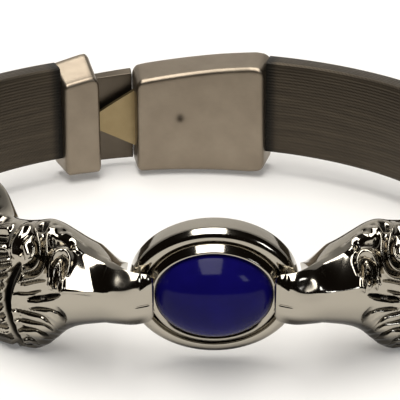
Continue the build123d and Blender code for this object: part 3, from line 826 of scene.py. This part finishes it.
class BRACELET_OT_setting(bpy.types.Operator):
    """Model the ring, bezel and stone"""

    bl_idname = "bracelet.setting"
    bl_label = "Setting and stone"

    def execute(self, context):
        sides = context.scene.bracelet.setting_sides
        setting = oval_sweep("oval_setting", setting_profile(), sides, 40)
        # Painted shade on the ring's outer wall, darker towards its bottom where it faces down
        oxide_and_painted_shade = []
        for vert in setting.data.vertices:
            low = (MID_Z - vert.co.z) / MM / (RING_WIDTH / 2)
            out = (ORIGIN_Y - vert.co.y / MM) - FRONT_REACH
            behind = 1 - smooth(RING_FRONT - 0.14, RING_FRONT - 0.01, out)
            oxide_and_painted_shade.append(float(smooth(0.62, 0.97, low) * behind))
        add_attribute(setting, "oxide_and_painted_shade", oxide_and_painted_shade)
        finish_piece(setting, cast_silver("polished_silver"), "setting_silver", "stone_setting")
        rows = []
        for i in range(41):
            angle = math.radians(90 * i / 41)
            rows.append((
                STONE_LENGTH / 2 * math.cos(angle),
                STONE_WIDTH / 2 * math.cos(angle),
                GIRDLE_OUT + STONE_DOME * math.sin(angle),
            ))
        rows.insert(0, (STONE_LENGTH / 2, STONE_WIDTH / 2, GIRDLE_OUT - STONE_GIRDLE))
        stone = oval_sweep("blue_cabochon", rows, sides, 60)
        finish_piece(stone, polished_lapis("polished_lapis"), "blue_stone", "stone")
        return {"FINISHED"}


def front_at(s):
    """Plan of the front arc at a distance from the stone."""
    t = s / FRONT_RADIUS
    return Vector((FRONT_RADIUS * math.sin(t), FRONT_RADIUS - FRONT_REACH - FRONT_RADIUS * math.cos(t)))


def back_at(s, out=0.0):
    """Plan of the back arc at a distance from its middle, some way out from the arc."""
    t = s / BACK_RADIUS
    radius = BACK_RADIUS + out
    return Vector((BACK_SHIFT + radius * math.sin(t), BACK_REACH - BACK_RADIUS + radius * math.cos(t)))


def arc_points(start, way, end, spacing):
    """Points and directions along the arc that leaves start along way and reaches end."""
    chord = end - start
    side = way.x * chord.y - way.y * chord.x
    half = math.atan2(side, way.dot(chord))
    radius = chord.length / (2 * math.sin(half))
    length = abs(2 * half * radius)
    steps = max(2, round(length / spacing))
    centre = start + Vector((-way.y, way.x)) * radius
    found = []
    for i in range(steps + 1):
        turned = Matrix.Rotation(2 * half * i / steps, 2)
        found.append((centre + turned @ (start - centre), turned @ way))
    return found


def band_path(side, corner, clasp_end):
    """Middle of half the band: from the socket, round the side of the wrist, along the back to the clasp."""
    head_end = HEAD_START + HEAD_LENGTH
    turn = side * head_end / FRONT_RADIUS
    start_way = Vector((side * math.cos(turn), side * math.sin(turn)))
    back_turn = corner / BACK_RADIUS
    end_way = Vector((-side * math.cos(back_turn), side * math.sin(back_turn)))
    start = front_at(side * head_end)
    end = back_at(corner)
    v = end - start
    w = start_way + end_way
    a = 2 * (1 - start_way.dot(end_way))
    b = 2 * v.dot(w)
    d = (-b + math.sqrt(b * b + 4 * a * v.length_squared)) / (2 * a)
    middle = (start + d * start_way + end - d * end_way) / 2
    socket = front_at(side * (head_end - BAND_INSERT))
    socket_turn = side * (head_end - BAND_INSERT) / FRONT_RADIUS
    socket_way = Vector((side * math.cos(socket_turn), side * math.sin(socket_turn)))
    path = arc_points(socket, socket_way, start, BAND_SPACING)
    path += arc_points(start, start_way, middle, BAND_SPACING)[1:]
    path += arc_points(middle, path[-1][1], end, BAND_SPACING)[1:]
    path += arc_points(end, end_way, back_at(clasp_end), BAND_SPACING)[1:]
    seen = len(path)
    path += arc_points(path[-1][0], path[-1][1], back_at(clasp_end - side * BAND_INSERT), 0.3)[1:]
    return path, seen


def band_outline():
    """Section of the band: out and height, with softened edges."""
    flat_out_to = BAND_THICKNESS / 2 - BAND_EDGE
    flat_up_to = BAND_WIDTH / 2 - BAND_EDGE
    points = []
    for k, (x, z) in enumerate(((1, 1), (-1, 1), (-1, -1), (1, -1))):
        points += rounded((x * flat_out_to, z * flat_up_to), BAND_EDGE, 90 * k, 5)
    return points


def build_band(name, side, corner, clasp_end):
    """One half of the band, with a chart in millimetres along and round it."""
    path, seen = band_path(side, corner, clasp_end)
    outline = band_outline()
    columns = len(outline)
    verts = []
    dark = []
    for i, (point, way) in enumerate(path):
        outward = Vector((way.y, -way.x)) * side
        inside = i >= seen
        near = (path[seen - 1][0] - point).length
        for out, up in outline:
            # The part that lies inside the clasp is drawn in, so that it stays within the blocks
            place = point + outward * out * (0.7 if inside else 1.0)
            height = max(min(up, 3.2), -5.8) if inside else up
            verts.append(to_frame(np.array(place.x), np.array(place.y), np.array(height)))
            # Painted shade: the band darkens within 1.8 mm of the clasp, and fully where it lies inside it
            dark.append(0.9 if inside else 0.9 * float(1 - smooth(0.5, 1.8, near)))
    count = len(path)
    faces = grid_faces(count, columns, flip=side > 0)
    caps = [tuple(range(columns)), tuple(range((count - 1) * columns, count * columns))]
    faces.append(caps[0] if side > 0 else caps[0][::-1])
    faces.append(caps[1][::-1] if side > 0 else caps[1])
    obj = link_mesh(name, verts, faces, smooth_angle=35)
    add_attribute(obj, "oxide_and_painted_shade", dark)
    chart_band(obj, path, outline)
    return obj


def chart_band(obj, path, outline):
    """Lays the chart: millimetres along the band and round its section."""
    count = len(path)
    columns = len(outline)
    along = [0.0]
    for i in range(1, count):
        along.append(along[-1] + (path[i][0] - path[i - 1][0]).length)
    around = [0.0]
    for j in range(1, columns + 1):
        a = Vector(outline[j - 1])
        b = Vector(outline[j % columns])
        around.append(around[-1] + (b - a).length)
    chart = obj.data.uv_layers.new(name="length_and_width")
    for face in obj.data.polygons:
        columns_used = [obj.data.loops[i].vertex_index % columns for i in face.loop_indices]
        wraps = max(columns_used) == columns - 1 and min(columns_used) == 0
        for i, column in zip(face.loop_indices, columns_used):
            row = obj.data.loops[i].vertex_index // columns
            v = around[columns] if wraps and column == 0 else around[column]
            chart.data[i].uv = (along[row], v)


class BRACELET_OT_band(bpy.types.Operator):
    """Model the two halves of the woven band"""

    bl_idname = "bracelet.band"
    bl_label = "Woven band"

    def execute(self, context):
        wire = woven_wire("woven_darkened_wire")
        halves = ((-1, "left", BACK_LEFT_TURN, CAP_END), (1, "right", BACK_RIGHT_TURN, BOX_END))
        for side, word, corner, clasp_end in halves:
            band = build_band("woven_band_" + word, side, corner, clasp_end)
            finish_piece(band, wire, "woven_band", "band_" + word)
        return {"FINISHED"}


# Steps between the rounded edges of a clasp block: over the top, down the wrist side, below, up the outside
SIDE_STEPS = (8, 44, 8, 8)


def block_outline(inner, outer, bottom, top_inner, top_outer, edge):
    """Section of a clasp block: out and height round a four-sided bar with rounded edges."""
    corners = (
        (outer - edge, top_outer - edge, 0), (inner + edge, top_inner - edge, 90),
        (inner + edge, bottom + edge, 180), (outer - edge, bottom + edge, 270),
    )
    arcs = [rounded((out, up), edge, start, 5) for out, up, start in corners]
    points = []
    for i, (arc, count) in enumerate(zip(arcs, SIDE_STEPS)):
        points += arc
        start = arc[-1]
        end = arcs[(i + 1) % 4][0]
        for k in range(1, count):
            share = k / count
            points.append((start[0] + (end[0] - start[0]) * share, start[1] + (end[1] - start[1]) * share))
    return points


def clasp_block(stations, edge, dimple=None, oxide_and_painted_shade=0.0):
    """Points, faces and painted shade of a bar along the back arc, from rows like those of BOX_ROWS."""
    table = np.array(stations)
    start = table[0, 0]
    end = table[-1, 0]
    turns = np.linspace(0.0, math.pi / 2, 6)
    inset = edge * (1 - np.sin(turns))
    ease = edge * (1 - np.cos(turns))
    middle = np.linspace(start + edge, end - edge, max(8, round((end - start) / 0.25)))
    places = np.concatenate([start + ease, middle[1:-1], end - ease[::-1]])
    insets = np.concatenate([inset, np.zeros(len(middle) - 2), inset[::-1]])
    verts = []
    dark = []
    for s, shrink in zip(places, insets):
        inner, outer, bottom, *tops = (np.interp(s, table[:, 0], table[:, k]) for k in range(1, 6))
        section = block_outline(
            inner + shrink, outer - shrink, bottom + shrink, tops[0] - shrink, tops[1] - shrink, edge
        )
        for out, up in section:
            shade = oxide_and_painted_shade
            if dimple and out < 0:
                gap = math.hypot(s - dimple[0], up - dimple[1])
                out += DIMPLE_DEPTH * math.exp(-((gap / DIMPLE_WIDTH) ** 2))
                shade = max(shade, 0.75 * math.exp(-((gap / 0.55) ** 2)))
            place = back_at(s, out)
            verts.append(to_frame(np.array(place.x), np.array(place.y), np.array(up)))
            dark.append(shade)
    columns = len(verts) // len(places)
    faces = grid_faces(len(places), columns, flip=True)
    last = (len(places) - 1) * columns
    faces.append(tuple(range(columns)))
    faces.append(tuple(range(last, last + columns))[::-1])
    return verts, faces, dark


def join_blocks(name, *blocks):
    """One piece from clasp blocks that lie in each other."""
    verts = []
    faces = []
    dark = []
    for more_verts, more_faces, more_dark in blocks:
        faces += [tuple(i + len(verts) for i in face) for face in more_faces]
        verts += more_verts
        dark += more_dark
    obj = link_mesh(name, verts, faces, smooth_angle=40)
    add_attribute(obj, "oxide_and_painted_shade", dark)
    return obj


# Clasp blocks: place along the back arc, wrist side, outside, bottom, top at the wrist side and outside
BOX_ROWS = (
    (-7.3, -2.7, 2.7, -9.15, 3.55, 3.9),
    (-6.6, -2.7, 2.7, -9.2, 4.0, 4.4),
    (-5.6, -2.7, 2.7, -9.2, 4.15, 4.6),
    (4.0, -2.7, 2.7, -9.2, 5.45, 5.85),
    (8.6, -2.7, 2.7, -9.15, 5.95, 6.35),
    (9.7, -2.7, 2.7, -9.0, 5.95, 6.25),
    (10.3, -2.7, 2.7, -8.8, 5.8, 5.9),
    (10.7, -2.65, 2.65, -8.6, 5.55, 5.5),
)
CAP_ROWS = (
    (-17.7, -2.5, 2.5, -8.3, 4.4, 5.7),
    (-17.2, -2.6, 2.6, -8.6, 4.5, 5.9),
    (-13.9, -2.6, 2.6, -8.7, 5.0, 6.6),
    (-13.3, -2.6, 2.6, -8.7, 5.0, 6.65),
    (-12.9, -2.6, 2.6, -8.7, 4.7, 6.2),
    (-12.5, -2.55, 2.55, -8.65, 4.2, 4.9),
)
PLATE_ROWS = (
    (-13.6, 1.3, 2.6, -8.7, 3.6, 3.9),
    (-12.0, 1.3, 2.6, -8.7, 3.3, 3.5),
    (-7.38, 1.3, 2.6, -8.7, 3.6, 3.9),
)


class BRACELET_OT_clasp(bpy.types.Operator):
    """Model the box and the cap of the clasp, and finish its spring"""

    bl_idname = "bracelet.clasp"
    bl_label = "Box clasp"

    def execute(self, context):
        satin = satin_metal("satin_silver", "#968b7b", "#7e7264", 0.38)
        spring = satin_metal("satin_brass_spring", "#a08f6d", "#837252", 0.38)
        box = join_blocks("box_of_clasp", clasp_block(BOX_ROWS, 0.65, dimple=DIMPLE))
        finish_piece(box, satin, "satin_silver", "clasp_box")
        # The plate behind the spring gets painted shade, as if it lay in the shadow of its recess
        plate = clasp_block(PLATE_ROWS, 0.15, oxide_and_painted_shade=0.6)
        cap = join_blocks("cap_of_clasp", clasp_block(CAP_ROWS, 0.55), plate)
        finish_piece(cap, satin, "satin_silver", "clasp_end_cap")
        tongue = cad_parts["clasp_tongue"]
        tongue.data.materials.clear()
        tongue.data.materials.append(spring)
        return {"FINISHED"}


def aim(obj, place, target):
    """Puts a lamp or camera at a place, looking at a target."""
    obj.location = place
    obj.rotation_euler = (Vector(target) - Vector(place)).to_track_quat("-Z", "Y").to_euler()


def add_lamp(name, place, target, width, length, watts, colour):
    """A soft box at a place, facing a target."""
    lamp = bpy.data.lights.new(name, "AREA")
    lamp.shape = "RECTANGLE"
    lamp.size = width
    lamp.size_y = length
    lamp.energy = watts
    lamp.color = linear(colour)[:3]
    obj = bpy.data.objects.new(name, lamp)
    bpy.context.scene.collection.objects.link(obj)
    aim(obj, place, target)


# The sheet of paper: metres to its front edge, to where it turns up, and its bend's radius
SWEEP_FRONT = -2.5
SWEEP_BACK = 0.55
SWEEP_RADIUS = 0.35


class BRACELET_OT_stage(bpy.types.Operator):
    """Set the floor, lights and camera"""

    bl_idname = "bracelet.stage"
    bl_label = "Stage"

    def execute(self, context):
        scene = context.scene
        bpy.ops.object.select_all(action="DESELECT")
        bpy.ops.mesh.primitive_plane_add(size=1.0, location=(0.0, 0.0, 0.0))
        sweep = context.object
        sweep.name = "paper_sweep"
        for vert in sweep.data.vertices:
            vert.co = (vert.co.x * 5.0, SWEEP_BACK if vert.co.y > 0 else SWEEP_FRONT, 0.0)
        bpy.ops.object.mode_set(mode="EDIT")
        bpy.ops.mesh.select_all(action="DESELECT")
        mesh = bmesh.from_edit_mesh(sweep.data)
        for edge in mesh.edges:
            edge.select_set(all(v.co.y > 0 for v in edge.verts))
        mesh.select_flush_mode()
        bmesh.update_edit_mesh(sweep.data)
        centre = (0.0, SWEEP_BACK, SWEEP_RADIUS)
        bpy.ops.mesh.spin(steps=16, angle=math.radians(-90), center=centre, axis=(1, 0, 0))
        bpy.ops.mesh.extrude_region_move(TRANSFORM_OT_translate={"value": (0.0, 0.0, 1.2)})
        bpy.ops.object.mode_set(mode="OBJECT")
        bpy.ops.object.shade_smooth()
        sweep.data.materials.append(pale_paper("matt_white_paper"))
        world = bpy.data.worlds.new("dim_studio")
        scene.world = world
        world.use_nodes = True
        world.node_tree.nodes["Background"].inputs[0].default_value = linear("#6b5d50")
        world.node_tree.nodes["Background"].inputs[1].default_value = 0.06
        add_lamp("overhead_softbox", (-0.07, -0.16, 0.90), (-0.07, -0.12, 0.0), 0.46, 1.35, 12.5, "#fffdf9")
        add_lamp("window_right", (0.62, -0.55, 0.52), (0.0, 0.0, 0.01), 0.16, 0.24, 0.6, "#f4f8ff")
        camera = bpy.data.cameras.new("photo_view")
        view = bpy.data.objects.new("photo_view", camera)
        scene.collection.objects.link(view)
        elevation = math.radians(CAMERA_ELEVATION)
        middle = Vector(to_frame(np.array(0.0), np.array(0.0), np.array(0.0)))
        back = Vector((0.0, -math.cos(elevation), math.sin(elevation)))
        aim(view, middle + back * CAMERA_DISTANCE, middle)
        camera.sensor_width = 36.0
        camera.lens = CAMERA_LENS
        camera.shift_x, camera.shift_y = CAMERA_SHIFT
        camera.clip_start = 0.005
        scene.camera = view
        scene.view_settings.view_transform = "Standard"
        return {"FINISHED"}


class BRACELET_PT_panel(bpy.types.Panel):
    """Lists the steps and the settings"""

    bl_label = "Animal head bracelet"
    bl_idname = "BRACELET_PT_panel"
    bl_space_type = "VIEW_3D"
    bl_region_type = "UI"
    bl_category = "Bracelet"

    def draw(self, context):
        for step in STEPS:
            self.layout.operator(step.bl_idname)
        for name in BraceletSizes.__annotations__:
            self.layout.prop(context.scene.bracelet, name)


STEPS = (BRACELET_OT_heads, BRACELET_OT_setting, BRACELET_OT_band, BRACELET_OT_clasp, BRACELET_OT_stage)
CLASSES = (BraceletSizes, *STEPS, BRACELET_PT_panel)


def register():
    for cls in CLASSES:
        bpy.utils.register_class(cls)
    bpy.types.Scene.bracelet = bpy.props.PointerProperty(type=BraceletSizes)


def unregister():
    del bpy.types.Scene.bracelet
    for cls in reversed(CLASSES):
        bpy.utils.unregister_class(cls)


def main():
    register()
    bpy.ops.bracelet.heads()
    bpy.ops.bracelet.setting()
    bpy.ops.bracelet.band()
    bpy.ops.bracelet.clasp()
    bpy.ops.bracelet.stage()


if __name__ == "__main__":
    main()
